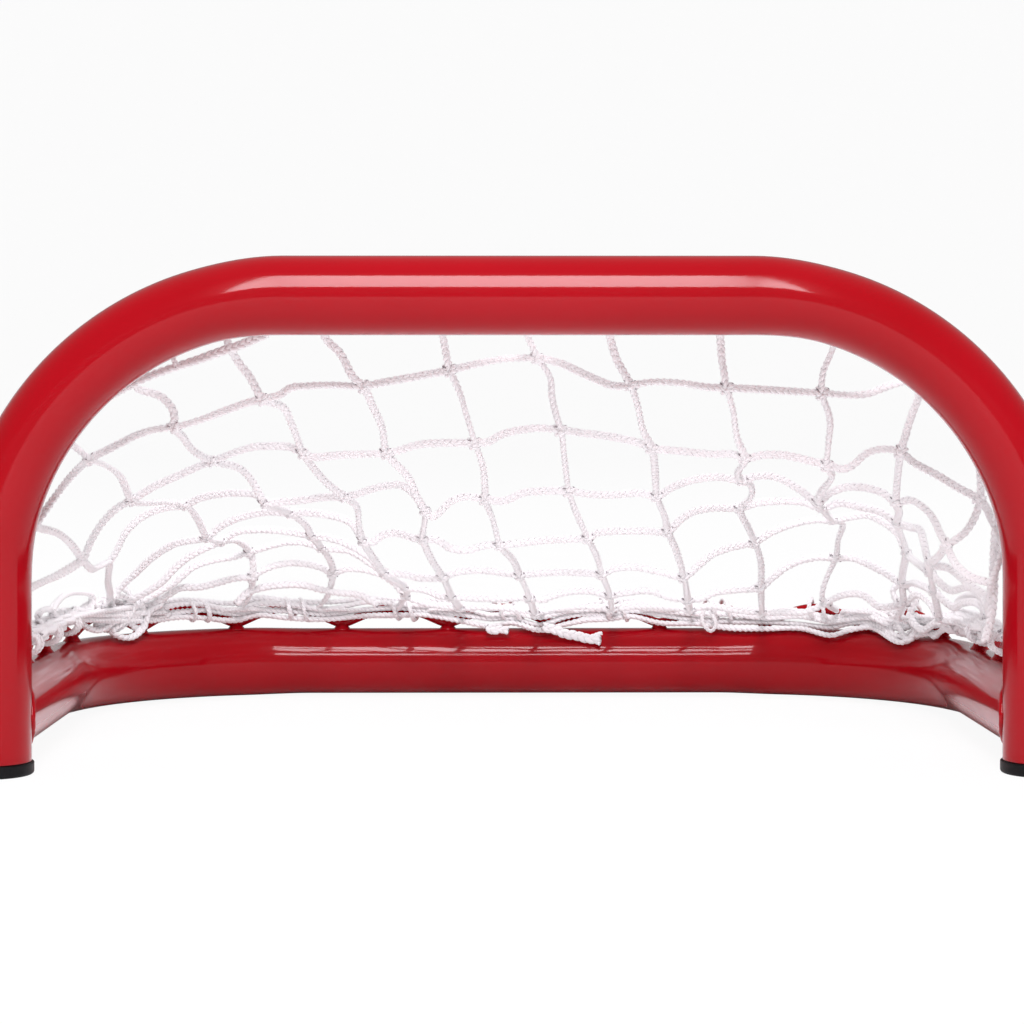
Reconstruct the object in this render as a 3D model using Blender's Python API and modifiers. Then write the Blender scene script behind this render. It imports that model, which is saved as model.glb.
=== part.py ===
"""A mini hockey goal: a bent tube arch, a U-shaped base tube, wavy lacing rods and a laced net.

Run with: blender --background --python part.py
Units are metres. X runs across the goal mouth, Y runs from the mouth to the back of the goal and Z is up.
The origin lies on the floor, below the middle of the goal.
"""

import math

import bmesh
import bpy
from mathutils import Vector

# Tube, driving sizes
TUBE_OD = 0.032
TUBE_WALL = 0.0015
LEG_SPACING = 0.422
GOAL_HEIGHT = 0.2077
BASE_REACH = 0.262
BASE_LIFT = 0.0007
ARCH_BEND_RADIUS = 0.1105
BASE_BEND_RADIUS = 0.1105
ARCH_BEND_SQUEEZE = 0.095
ARCH_BEND_BULGE = 0.085
BASE_BEND_SQUEEZE = 0.05
BASE_BEND_BULGE = 0.035
SQUEEZE_RAMP = math.radians(16)

# End caps of the legs
CAP_HEAD = 0.005
CAP_LIP = 0.001
CAP_CHAMFER = 0.0011
CAP_STEM = 0.016
CAP_STEM_WALL = 0.0022
CAP_RIBS = 3
CAP_RIB_HEIGHT = 0.0009

# Weld beads where the base tube meets the legs
WELD_RADIUS = 0.0032
WELD_SIDE_SHARE = 0.3
WELD_END_ANGLE = math.radians(45)

# Wavy lacing rods
ROD_DIAMETER = 0.0045
BASE_ROD_PITCH = 0.0525
ARCH_ROD_PITCH = 0.0505
ROD_RISE = 0.0074
ROD_FOOT_ROUNDING = 0.16
BASE_ROD_WAVES = 15
BASE_ROD_START = 0.026
ARCH_ROD_WAVES = 12

# Net
NET_CORD = 0.0036
NET_COLUMNS = 12
NET_ROWS = 8
NET_LEG_ROWS = 2
NET_MESH = 0.040
NET_TOP_LEFT = 0.098
NET_TOP_RIGHT = 0.092
NET_BOTTOM_LEFT = 0.240
NET_BOTTOM_RIGHT = 0.144
NET_LEFT_BUNCHING = 1.6
NET_EDGE_INWARD = 0.0045
NET_EDGE_SHARPNESS = 3
NET_BOW_MOST = 0.008
NET_BACK_POWER = 1.12
NET_DOWN_POWER = 1.7

# Lacing cord that ties the net's edge to the rods
LACE_DIAMETER = 0.0024
LACE_SLACK = 0.002
LACE_LOOP_INWARD = 0.0108
LACE_LOOP_HALF_HEIGHT = 0.0056
LACE_ADVANCE = 0.004
LACE_REACH = 0.010

# Clearance between touching pieces, and facets
GAP = 0.0003
TUBE_SIDES = 20
BEND_STEPS = 11
ROD_POINTS_PER_WAVE = 6
LOOP_POINTS = 9
FINE_STEPS = 60
WELD_STEPS = 22
LACE_TRIES = 8

# Derived sizes
TUBE_R = TUBE_OD / 2
ROD_R = ROD_DIAMETER / 2
HALF_SPACING = LEG_SPACING / 2
LEG_BOTTOM = CAP_HEAD + GAP
ARCH_RISE = GOAL_HEIGHT - TUBE_R - LEG_BOTTOM
BASE_FRONT_Z = LEG_BOTTOM + BASE_LIFT + TUBE_R
BASE_REAR_Z = TUBE_R * (1 + BASE_BEND_BULGE)
FRONT_Y = -(BASE_REACH + TUBE_R - TUBE_R * (1 + ARCH_BEND_BULGE)) / 2
ROD_CREST = TUBE_R + GAP + ROD_R + ROD_RISE
LACE_OUTER = -(ROD_R + LACE_DIAMETER / 2 + LACE_SLACK)


class UPath:
    """A U in its own plane, followed from the free end of its left leg to the free end of its right leg."""

    def __init__(self, half_span, reach, radius, squeeze, bulge):
        self.half_span = half_span
        self.reach = reach
        self.radius = radius
        self.squeeze = squeeze
        self.bulge = bulge
        self.leg = reach - radius
        self.bend = radius * math.pi / 2
        self.length = 2 * (self.leg + self.bend + half_span - radius)

    def at(self, s):
        """Distance across, distance along the legs, and heading: 0 on the left leg, pi on the right one."""
        if s > self.length / 2:
            across, along, heading = self.at(self.length - s)
            return -across, along, math.pi - heading
        if s <= self.leg:
            return -self.half_span, s, 0.0
        if s <= self.leg + self.bend:
            angle = (s - self.leg) / self.radius
            across = -self.half_span + self.radius * (1 - math.cos(angle))
            return across, self.leg + self.radius * math.sin(angle), angle
        return s - self.length / 2, self.reach, math.pi / 2

    def section(self, s):
        """Half widths of the tube in the U's plane and across it: round on the straights, oval in a bend."""
        s = min(s, self.length - s)
        angle = (s - self.leg) / self.radius
        ramp = min(angle, math.pi / 2 - angle) / SQUEEZE_RAMP
        ramp = min(max(ramp, 0.0), 1.0)
        oval = ramp * ramp * (3 - 2 * ramp)
        return TUBE_R * (1 - self.squeeze * oval), TUBE_R * (1 + self.bulge * oval)

    def rod_off(self, s, rise):
        """How far a lacing rod's axis lies from the tube's axis; rise is 0 at its feet."""
        return self.section(s)[1] + GAP + ROD_R + rise

    def crest_off(self, s):
        return self.rod_off(s, ROD_RISE)

    def stations(self):
        """Places of the rings of a tube: the ends of each straight, and even steps round each bend."""
        bend_1 = [self.leg + self.bend * i / BEND_STEPS for i in range(BEND_STEPS + 1)]
        bend_2 = [self.length - s for s in reversed(bend_1)]
        return [0.0] + bend_1 + bend_2 + [self.length]


ARCH = UPath(HALF_SPACING, ARCH_RISE, ARCH_BEND_RADIUS, ARCH_BEND_SQUEEZE, ARCH_BEND_BULGE)
BASE = UPath(HALF_SPACING, BASE_REACH, BASE_BEND_RADIUS, BASE_BEND_SQUEEZE, BASE_BEND_BULGE)


def arch_point(s, inward=0.0, off=0.0):
    """A point beside the arch's axis: inward is towards the mouth's middle, off is towards the back."""
    across, along, heading = ARCH.at(s)
    x = across + inward * math.cos(heading)
    z = LEG_BOTTOM + along - inward * math.sin(heading)
    return Vector((x, FRONT_Y + off, z))


def base_point(s, inward=0.0, off=0.0):
    """A point beside the base tube's axis: inward is towards the goal's middle, off is up."""
    across, along, heading = BASE.at(s)
    x = across + inward * math.cos(heading)
    reach = along - inward * math.sin(heading)
    drop = (BASE_FRONT_Z - BASE_REAR_Z) * along / BASE_REACH
    return Vector((x, FRONT_Y + reach, BASE_FRONT_Z - drop + off))


def clear_scene():
    for obj in list(bpy.data.objects):
        bpy.data.objects.remove(obj, do_unlink=True)


def new_collection(name):
    collection = bpy.data.collections.new(name)
    bpy.context.scene.collection.children.link(collection)
    return collection


def new_material(name, color, roughness, coat=0.0):
    material = bpy.data.materials.new(name)
    material.use_nodes = True
    shader = material.node_tree.nodes["Principled BSDF"]
    shader.inputs["Base Color"].default_value = (*color, 1.0)
    shader.inputs["Roughness"].default_value = roughness
    shader.inputs["Metallic"].default_value = 0.0
    shader.inputs["Coat Weight"].default_value = coat
    return material


def add_object(name, data, collection, material=None):
    obj = bpy.data.objects.new(name, data)
    collection.objects.link(obj)
    if material:
        data.materials.append(material)
    return obj


def smooth(mesh, angle=40):
    mesh.shade_smooth()
    mesh.set_sharp_from_angle(angle=math.radians(angle))


def cutter_cylinder(name, radius, low, high, axis_point, cutters):
    """An upright cylinder that only cuts."""
    bm = bmesh.new()
    bmesh.ops.create_cone(
        bm,
        cap_ends=True,
        segments=2 * TUBE_SIDES,
        radius1=radius,
        radius2=radius,
        depth=high - low,
    )
    mesh = bpy.data.meshes.new(name)
    bm.to_mesh(mesh)
    bm.free()
    obj = add_object(name, mesh, cutters)
    obj.location = (axis_point[0], axis_point[1], (low + high) / 2)
    obj.hide_render = True
    obj.display_type = "WIRE"
    return obj


def tube_cylinder(name, x, cutters):
    """The base tube's outer face near a leg, with clearance, as a cutter that lies along the tube."""
    length = 6 * TUBE_OD
    obj = cutter_cylinder(name, TUBE_R + GAP, 0, length, (x, FRONT_Y), cutters)
    slope = math.atan2(BASE_FRONT_Z - BASE_REAR_Z, BASE_REACH)
    obj.rotation_euler = (math.pi / 2 - slope, 0, 0)
    obj.location = (x, FRONT_Y, BASE_FRONT_Z)
    return obj


def cut(obj, cutter):
    modifier = obj.modifiers.new("cut_" + cutter.name, "BOOLEAN")
    modifier.operation = "DIFFERENCE"
    modifier.solver = "EXACT"
    modifier.object = cutter


def lofted_tube(name, path, place, collection):
    """An open tube along a path, round on the straights and squeezed oval in the bends."""
    bm = bmesh.new()
    rings = []
    for s in path.stations():
        in_plane, off_plane = path.section(s)
        ring = []
        for i in range(TUBE_SIDES):
            angle = 2 * math.pi * i / TUBE_SIDES
            ring.append(bm.verts.new(place(s, in_plane * math.cos(angle), off_plane * math.sin(angle))))
        rings.append(ring)
    for ring, following in zip(rings, rings[1:]):
        for i in range(TUBE_SIDES):
            j = (i + 1) % TUBE_SIDES
            bm.faces.new((ring[i], ring[j], following[j], following[i]))
    bmesh.ops.recalc_face_normals(bm, faces=bm.faces)
    mesh = bpy.data.meshes.new(name)
    bm.to_mesh(mesh)
    bm.free()
    smooth(mesh)
    return add_object(name, mesh, collection)


def add_wall(obj):
    """Gives an open tube its wall, measured inwards from the outer face."""
    wall = obj.modifiers.new("wall", "SOLIDIFY")
    wall.thickness = TUBE_WALL
    wall.offset = -1.0
    wall.use_even_offset = True
    wall.use_rim = True


def add_front_arch(parts, paint):
    arch = lofted_tube("front_arch", ARCH, arch_point, parts)
    add_wall(arch)
    arch.data.materials.append(paint)
    return arch


def add_base_tube(parts, paint, leg_cutters):
    base = lofted_tube("base_tube", BASE, base_point, parts)
    add_wall(base)
    for cutter in leg_cutters:
        cut(base, cutter)
    base.data.materials.append(paint)
    return base


def cap_profile():
    """Radius and height down the outside of a cap, from its hollow stem to the sole."""
    bore = TUBE_R - TUBE_WALL
    tip = bore - GAP
    root = tip - CAP_RIB_HEIGHT
    inner = root - CAP_STEM_WALL
    top = CAP_HEAD + CAP_STEM
    points = [(0.0, CAP_HEAD), (inner, CAP_HEAD), (inner, top), (root - CAP_RIB_HEIGHT, top)]
    step = CAP_STEM / (CAP_RIBS + 1)
    for rib in range(CAP_RIBS):
        middle = top - step * (rib + 1)
        points.append((root, middle + step / 4))
        points.append((tip, middle))
        points.append((root, middle - step / 8))
    lip = TUBE_R + CAP_LIP
    points.append((root, CAP_HEAD))
    points.append((lip - CAP_CHAMFER / 3, CAP_HEAD))
    points.append((lip, CAP_HEAD - CAP_CHAMFER / 3))
    points.append((lip, CAP_CHAMFER))
    points.append((lip - CAP_CHAMFER, 0.0))
    points.append((0.0, 0.0))
    return points


def add_leg_cap(name, x, parts, plastic):
    """A push-in cap, turned about its own upright axis."""
    mesh = bpy.data.meshes.new(name)
    points = [(radius, 0.0, height) for radius, height in cap_profile()]
    mesh.from_pydata(points, [(i, i + 1) for i in range(len(points) - 1)], [])
    cap = add_object(name, mesh, parts, plastic)
    cap.location = (x, FRONT_Y, 0.0)
    turn = cap.modifiers.new("turn", "SCREW")
    turn.axis = "Z"
    turn.steps = TUBE_SIDES
    turn.render_steps = TUBE_SIDES
    turn.use_merge_vertices = True
    turn.merge_threshold = 0.00001
    return cap


def poly_curve(name, points, diameter, resolution):
    curve = bpy.data.curves.new(name, "CURVE")
    curve.dimensions = "3D"
    curve.bevel_depth = diameter / 2
    curve.bevel_resolution = resolution
    curve.use_fill_caps = True
    spline = curve.splines.new("POLY")
    spline.points.add(len(points) - 1)
    for point, place in zip(spline.points, points):
        point.co = (*place, 1.0)
    spline.use_smooth = True
    return curve


def mesh_from_curve(name, curve, collection, material):
    """The curve's tube as a mesh object, with its caps welded."""
    holder = bpy.data.objects.new(name + "_guide", curve)
    collection.objects.link(holder)
    graph = bpy.context.evaluated_depsgraph_get()
    mesh = bpy.data.meshes.new_from_object(holder.evaluated_get(graph))
    mesh.name = name
    bm = bmesh.new()
    bm.from_mesh(mesh)
    bmesh.ops.remove_doubles(bm, verts=bm.verts, dist=0.000001)
    bm.to_mesh(mesh)
    bm.free()
    bpy.data.objects.remove(holder, do_unlink=True)
    mesh.materials.clear()
    return add_object(name, mesh, collection, material)


def saddle_points(x):
    """The line over the base tube's end where its face meets the leg, clear of the cap below."""
    points = []
    reach = TUBE_R + GAP
    for i in range(WELD_STEPS + 1):
        angle = -WELD_END_ANGLE + (math.pi + 2 * WELD_END_ANGLE) * i / WELD_STEPS
        side = TUBE_R * math.cos(angle)
        back = math.sqrt(reach * reach - side * side)
        points.append(Vector((x + side, FRONT_Y + back, BASE_FRONT_Z + TUBE_R * math.sin(angle))))
    return points


def add_weld(name, x, parts, paint, leg_cutter, tube_cutter):
    """A fillet bead in the corner between leg and base tube, thin where their sides run into each other."""
    line = saddle_points(x)
    curve = poly_curve(name, line, 2 * WELD_RADIUS, 1)
    for point in curve.splines[0].points:
        side = min(abs(point.co.x - x) / TUBE_R, 1.0)
        point.radius = 1 - (1 - WELD_SIDE_SHARE) * side ** 4
    weld = mesh_from_curve(name, curve, parts, paint)
    cut(weld, leg_cutter)
    cut(weld, tube_cutter)
    return weld


def wave(phase):
    """Rise of a lacing rod from 0 at a foot (whole phase) to 1 at a crest (half phase)."""
    rounding = ROD_FOOT_ROUNDING
    top = math.sqrt(1 + rounding * rounding) - rounding
    return (math.sqrt(math.sin(math.pi * phase) ** 2 + rounding * rounding) - rounding) / top


def add_rod(name, path, place, start, pitch, waves, parts, paint):
    """A wavy rod along a tube: its feet stand on the tube and its crests hold the net."""
    points = []
    for i in range(waves * ROD_POINTS_PER_WAVE + 1):
        phase = i / ROD_POINTS_PER_WAVE
        s = start + pitch * phase
        points.append(place(s, 0.0, path.rod_off(s, ROD_RISE * wave(phase))))
    return add_object(name, poly_curve(name, points, ROD_DIAMETER, 2), parts, paint)


def top_tie(i):
    """Where a column of the net is tied along the arch, evenly between the ends of the net's top edge."""
    span = ARCH.length - NET_TOP_LEFT - NET_TOP_RIGHT
    return NET_TOP_LEFT + span * i / NET_COLUMNS


def bottom_tie(i):
    """Where a column of the net is tied along the base tube. The net is laced askew, to the right."""
    span = BASE.length - NET_BOTTOM_LEFT - NET_BOTTOM_RIGHT
    return NET_BOTTOM_LEFT + span * i / NET_COLUMNS


def points_along(line, count, bunching=1.0):
    """Points along a line of points, ends included: evenly spaced, or bunched towards its end."""
    lengths = [0.0]
    for first, second in zip(line, line[1:]):
        lengths.append(lengths[-1] + (second - first).length)
    points = []
    k = 0
    for i in range(count + 1):
        wanted = lengths[-1] * (1 - (1 - i / count) ** bunching)
        while k < len(line) - 2 and lengths[k + 1] < wanted:
            k += 1
        share = (wanted - lengths[k]) / (lengths[k + 1] - lengths[k])
        points.append(line[k].lerp(line[k + 1], share))
    return points


def edge_point(place, path, s):
    """A point of the net's edge, beside the crests of a rod."""
    return place(s, NET_EDGE_INWARD, path.crest_off(s))


def edge_line(place, path, start, end):
    """The line of the net's edge along a stretch of a rod."""
    steps = range(FINE_STEPS + 1)
    return [edge_point(place, path, start + (end - start) * i / FINE_STEPS) for i in steps]


def side_edge_knots(i):
    """Knots of a side edge: down the leg beside its rod, then back along the base tube beside its rod."""
    leg_end = base_point(ROD_CREST, NET_EDGE_INWARD, ROD_CREST).z - LEG_BOTTOM
    base_start = ROD_CREST
    bunching = NET_LEFT_BUNCHING
    if i > 0:
        leg_end = ARCH.length - leg_end
        base_start = BASE.length - base_start
        bunching = 1.0
    on_leg = points_along(edge_line(arch_point, ARCH, top_tie(i), leg_end), NET_LEG_ROWS)
    on_base = edge_line(base_point, BASE, base_start, bottom_tie(i))
    return on_leg[:-1] + points_along(on_base, NET_ROWS - NET_LEG_ROWS, bunching)


def hanging_knots(i):
    """Knots of a column that hangs freely: steep below the arch, and nearly flat above the base tube."""
    top = edge_point(arch_point, ARCH, top_tie(i))
    bottom = edge_point(base_point, BASE, bottom_tie(i))
    knots = []
    for j in range(NET_ROWS + 1):
        share = j / NET_ROWS
        knot = top.lerp(bottom, 1 - (1 - share) ** NET_DOWN_POWER)
        knot.y = top.y + (bottom.y - top.y) * share ** NET_BACK_POWER
        knots.append(knot)
    return knots


def net_knots():
    """Knots of every column: they hang freely, and are drawn to the side edges near them."""
    sides = (side_edge_knots(0), side_edge_knots(NET_COLUMNS))
    hanging_sides = (hanging_knots(0), hanging_knots(NET_COLUMNS))
    columns = []
    for i in range(NET_COLUMNS + 1):
        across = 2 * i / NET_COLUMNS - 1
        side = 0 if across < 0 else 1
        edge = abs(across) ** NET_EDGE_SHARPNESS
        column = hanging_knots(i)
        for knot, tied, free in zip(column, sides[side], hanging_sides[side]):
            knot += (tied - free) * edge
        columns.append(column)
    return columns


def row_middle(knots, i, j):
    """The middle of the cord after knot i of row j.

    The top and bottom rows follow the rods. Between them a cord bows up where its knots are nearer than
    one mesh, apart from the cords that are tied to a side edge.
    """
    if j == 0:
        return edge_point(arch_point, ARCH, (top_tie(i) + top_tie(i + 1)) / 2)
    if j == NET_ROWS:
        return edge_point(base_point, BASE, (bottom_tie(i) + bottom_tie(i + 1)) / 2)
    first, second = knots[i][j], knots[i + 1][j]
    middle = (first + second) / 2
    if 0 < i < NET_COLUMNS - 1:
        chord = (second - first).length
        spare = math.sqrt(max(NET_MESH ** 2 - chord ** 2, 0.0)) / 2
        middle.z += min(spare, NET_BOW_MOST)
    return middle


def inner_strands(knots):
    """The net's straight stretches of cord, as pairs of points, without those of its border."""
    strands = []
    for i in range(NET_COLUMNS + 1):
        for j in range(NET_ROWS + 1):
            if 0 < i < NET_COLUMNS and j < NET_ROWS:
                strands.append((knots[i][j], knots[i][j + 1]))
            if i < NET_COLUMNS and 0 < j < NET_ROWS:
                middle = row_middle(knots, i, j)
                strands.append((knots[i][j], middle))
                strands.append((middle, knots[i + 1][j]))
    return strands


def knot_axes(knots, i, j):
    """Directions along the row, along the column and across the net at a knot.

    On the border the third one is square to the plane that the rod follows, so a flat side faces the rod.
    """
    right = knots[min(i + 1, NET_COLUMNS)][j] - knots[max(i - 1, 0)][j]
    down = knots[i][min(j + 1, NET_ROWS)] - knots[i][max(j - 1, 0)]
    on_side = i in (0, NET_COLUMNS)
    on_end = j in (0, NET_ROWS)
    if not on_side and not on_end:
        normal = right.cross(down).normalized()
        right.normalize()
        return right, normal.cross(right), normal
    normal = Vector((0.0, float(j <= NET_LEG_ROWS), float(j >= NET_LEG_ROWS))).normalized()
    if on_side and not on_end:
        right = down.cross(normal).normalized()
        return right, normal.cross(right), normal
    if on_side:
        toward_next = -1 if (i == 0) == (j == 0) else 1
        right += down * toward_next
    right = (right - normal * right.dot(normal)).normalized()
    return right, normal.cross(right), normal


class KnotBlock:
    """A knot as a small block with a square face towards each of its cords."""

    def __init__(self, bm, knots, i, j):
        right, down, normal = knot_axes(knots, i, j)
        half = NET_CORD / 2
        self.bm = bm
        self.at_corner = i in (0, NET_COLUMNS) and j in (0, NET_ROWS)
        self.outward = -1 if i == 0 else 1
        self.free_faces = {(axis, sign) for axis in range(3) for sign in (-1, 1)}
        self.corners = {}
        for a in (-1, 1):
            for b in (-1, 1):
                for c in (-1, 1):
                    place = knots[i][j] + half * (a * right + b * down + c * normal)
                    self.corners[a, b, c] = bm.verts.new(place)

    def ring(self, axis, sign):
        """The corners of one face in order round it; axis 0 is along the row, 1 along the column."""
        keys = []
        for first, second in ((-1, -1), (1, -1), (1, 1), (-1, 1)):
            key = [first, second]
            key.insert(axis, sign)
            keys.append(tuple(key))
        return [self.corners[key] for key in keys]

    def cord_ring(self, axis, sign):
        """The face that a cord leaves from. At the net's corners the border runs on along the rod."""
        if axis == 1 and self.at_corner:
            axis, sign = 0, self.outward
        self.free_faces.remove((axis, sign))
        return self.ring(axis, sign)

    def close(self):
        for axis, sign in sorted(self.free_faces):
            self.bm.faces.new(self.ring(axis, sign))


def turned_to(first, second):
    """The second ring's corners in the order that matches the first ring's with the least twist."""
    orders = []
    for ring in (second, second[::-1]):
        for k in range(4):
            orders.append(ring[k:] + ring[:k])
    twist = [sum((a.co - b.co).length_squared for a, b in zip(first, ring)) for ring in orders]
    return orders[twist.index(min(twist))]


def join_rings(bm, first, second):
    for k in range(4):
        following = (k + 1) % 4
        bm.faces.new((first[k], first[following], second[following], second[k]))


def add_net(knots, parts, cord):
    """The net: one knitted piece whose rows follow the arch, hanging from it to the base tube."""
    bm = bmesh.new()
    blocks = {}
    for i in range(NET_COLUMNS + 1):
        for j in range(NET_ROWS + 1):
            blocks[i, j] = KnotBlock(bm, knots, i, j)
    for (i, j), block in blocks.items():
        for axis, following in ((0, (i + 1, j)), (1, (i, j + 1))):
            if following not in blocks:
                continue
            start = block.cord_ring(axis, 1)
            end = turned_to(start, blocks[following].cord_ring(axis, -1))
            if axis == 0:
                bow = row_middle(knots, i, j) - (knots[i][j] + knots[i + 1][j]) / 2
                middle = [bm.verts.new((a.co + b.co) / 2 + bow) for a, b in zip(start, end)]
                join_rings(bm, start, middle)
                start = middle
            join_rings(bm, start, end)
    for block in blocks.values():
        block.close()
    bmesh.ops.recalc_face_normals(bm, faces=bm.faces)
    mesh = bpy.data.meshes.new("net")
    bm.to_mesh(mesh)
    bm.free()
    return add_object("net", mesh, parts, cord)


def distance_to_strands(point, strands):
    nearest = 1.0
    for first, second in strands:
        along = second - first
        share = (point - first).dot(along) / along.length_squared
        foot = first.lerp(second, min(max(share, 0.0), 1.0))
        nearest = min(nearest, (point - foot).length)
    return nearest


def lace_loop(path, place, start, pitch, middle):
    """Points of one turn of the lacing, round the rod and the net's edge."""
    half_width = (LACE_LOOP_INWARD - LACE_OUTER) / 2
    points = []
    for i in range(LOOP_POINTS + 1):
        turn = 2 * math.pi * i / LOOP_POINTS
        s = middle + LACE_ADVANCE * (i / LOOP_POINTS - 0.5)
        inward = LACE_OUTER + half_width * (1 - math.cos(turn))
        rod = path.rod_off(s, ROD_RISE * wave((s - start) / pitch))
        off = (rod + path.crest_off(s)) / 2 + LACE_LOOP_HALF_HEIGHT * math.sin(turn)
        points.append(place(s, inward, off))
    return points


def freest_loop(path, place, start, pitch, crest, strands):
    """Where near a crest of the rod a loop lies farthest from the net's strands."""
    centre = edge_point(place, path, crest)
    near = [strand for strand in strands if (strand[0] - centre).length < 2 * NET_MESH]
    tries = [crest + LACE_REACH * k / LACE_TRIES for k in range(-LACE_TRIES, LACE_TRIES + 1)]
    room = []
    for middle in tries:
        loop = lace_loop(path, place, start, pitch, middle)
        room.append(min(distance_to_strands(point, near) for point in loop))
    return tries[room.index(max(room))]


def add_lacing(name, path, place, start, pitch, waves, strands, parts, cord):
    """One cord that runs outside the rod and loops round it and the net's edge near each crest."""
    points = []
    for i in range(waves):
        crest = start + pitch * (i + 0.5)
        middle = freest_loop(path, place, start, pitch, crest, strands)
        points += lace_loop(path, place, start, pitch, middle)
        s = middle + pitch / 2
        points.append(place(s, LACE_OUTER, path.crest_off(s)))
    return add_object(name, poly_curve(name, points[:-1], LACE_DIAMETER, 1), parts, cord)


def main():
    clear_scene()
    parts = new_collection("mini_hockey_goal")
    cutters = new_collection("cutters")
    paint = new_material("red_gloss_paint", (0.60, 0.005, 0.012), 0.18, 0.5)
    plastic = new_material("black_plastic", (0.012, 0.012, 0.013), 0.42)
    cord = new_material("white_net_cord", (0.86, 0.83, 0.85), 0.8)

    add_front_arch(parts, paint)
    leg_cutters = []
    for side, x in (("left", -HALF_SPACING), ("right", HALF_SPACING)):
        leg_space = (TUBE_R + GAP, -TUBE_OD, 3 * TUBE_OD, (x, FRONT_Y))
        leg_cutter = cutter_cylinder("leg_space_" + side, *leg_space, cutters)
        tube_cutter = tube_cylinder("tube_space_" + side, x, cutters)
        leg_cutters.append(leg_cutter)
        add_weld("base_weld_" + side, x, parts, paint, leg_cutter, tube_cutter)
        add_leg_cap("leg_cap_" + side, x, parts, plastic)
    add_base_tube(parts, paint, leg_cutters)

    knots = net_knots()
    strands = inner_strands(knots)
    add_net(knots, parts, cord)
    arch_start = (ARCH.length - ARCH_ROD_WAVES * ARCH_ROD_PITCH) / 2
    arch_rod = (ARCH, arch_point, arch_start, ARCH_ROD_PITCH, ARCH_ROD_WAVES)
    base_rod = (BASE, base_point, BASE_ROD_START, BASE_ROD_PITCH, BASE_ROD_WAVES)
    for name, rod in (("arch_lacing", arch_rod), ("base_lacing", base_rod)):
        add_rod(name + "_rod", *rod, parts, paint)
        add_lacing(name + "_cord", *rod, strands, parts, cord)


main()
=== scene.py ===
"""Scene of the mini hockey goal: finer tubes, rods, caps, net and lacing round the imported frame, in metres.

X runs across the goal mouth, Y from the mouth to the back and Z is up, as in the frame.
"""

import math
import random
from collections import namedtuple

import bmesh
import bpy
import numpy as np
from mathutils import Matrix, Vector


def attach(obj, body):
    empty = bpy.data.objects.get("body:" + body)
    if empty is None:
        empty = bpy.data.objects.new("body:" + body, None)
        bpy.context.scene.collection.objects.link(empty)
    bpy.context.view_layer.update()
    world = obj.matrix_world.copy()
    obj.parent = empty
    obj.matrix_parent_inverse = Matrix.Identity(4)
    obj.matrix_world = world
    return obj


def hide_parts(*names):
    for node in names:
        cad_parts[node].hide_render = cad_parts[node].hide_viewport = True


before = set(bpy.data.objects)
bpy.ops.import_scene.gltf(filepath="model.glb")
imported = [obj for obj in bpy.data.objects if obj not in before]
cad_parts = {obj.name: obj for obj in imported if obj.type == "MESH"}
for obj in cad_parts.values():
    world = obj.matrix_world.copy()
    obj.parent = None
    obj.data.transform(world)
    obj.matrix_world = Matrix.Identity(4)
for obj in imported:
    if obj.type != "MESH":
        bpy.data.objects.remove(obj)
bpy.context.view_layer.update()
random.seed(7)

# The frame's sizes, as in the model, apart from the arch's wider and less oval bends
TUBE_R = 0.016
TUBE_WALL = 0.0015
HALF_SPACING = 0.211
GOAL_HEIGHT = 0.2077
BASE_REACH = 0.262
LEG_BOTTOM = 0.0053
BASE_FRONT_Z = 0.022
BASE_REAR_Z = 0.01656
ARCH_BEND_RADIUS = 0.1165
BASE_BEND_RADIUS = 0.1105
ARCH_SQUEEZE = 0.045
ARCH_BULGE = 0.085
BASE_SQUEEZE = 0.05
BASE_BULGE = 0.035
SQUEEZE_RAMP = math.radians(16)
FRONT_Y = -0.13032
GAP = 0.0003
ROD_R = 0.00225
ROD_RISE = 0.0074
ROD_FOOT_ROUNDING = 0.16
BASE_ROD_PITCH = 0.0525
BASE_ROD_WAVES = 15
BASE_ROD_START = 0.026
ARCH_ROD_PITCH = 0.0505
ARCH_ROD_WAVES = 12
CAP_HEAD = 0.005
CAP_LIP = 0.001

# The photograph's camera, in its own pixels
PHOTO_SIZE = 1024
FOCAL_PX = 2753.7
CENTRE_PX = 515.6
HORIZON_PX = 358.0
SENSOR_MM = 36.0
CLIP_END = 50.0
GOAL_YAW = math.radians(0.55)
CAMERA_AT = Vector((-0.0116, -1.2353, 0.1666))
FORWARD = Vector((math.sin(GOAL_YAW), math.cos(GOAL_YAW), 0.0))
RIGHT = Vector((math.cos(GOAL_YAW), -math.sin(GOAL_YAW), 0.0))
UP = Vector((0.0, 0.0, 1.0))


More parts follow.
